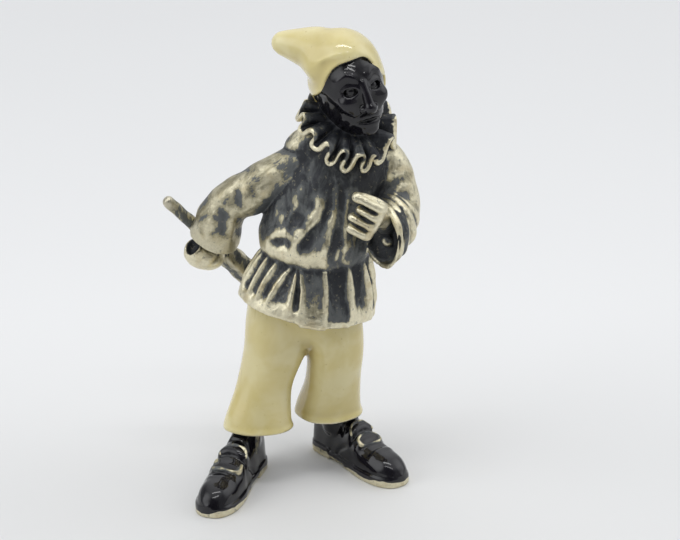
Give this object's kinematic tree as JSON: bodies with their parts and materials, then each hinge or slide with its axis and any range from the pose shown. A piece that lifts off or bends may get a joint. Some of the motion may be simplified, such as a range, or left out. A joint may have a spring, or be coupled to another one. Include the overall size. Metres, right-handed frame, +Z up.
{
  "type": "silver theatre figurine",
  "caption": "Standing figurine of a masked comic player in cap, ruff, pleated tunic and wide trousers, one fist raised, a stick held behind.",
  "frame": {"origin": "on the ground, below the middle of the box that holds the figurine and its stick", "axes": "+Z up, -Y the way the figurine's chest faces, +X towards its left arm"},
  "size_m": [0.0386, 0.0296, 0.07],
  "materials": {
    "silver": "slightly worn cast silver, dark in its recesses, with glossy cream and black enamel",
    "stick_silver": "cast silver, darkened"
  },
  "bodies": {
    "root": {"figure": "silver", "stick": "stick_silver"}
  },
  "joints": []
}
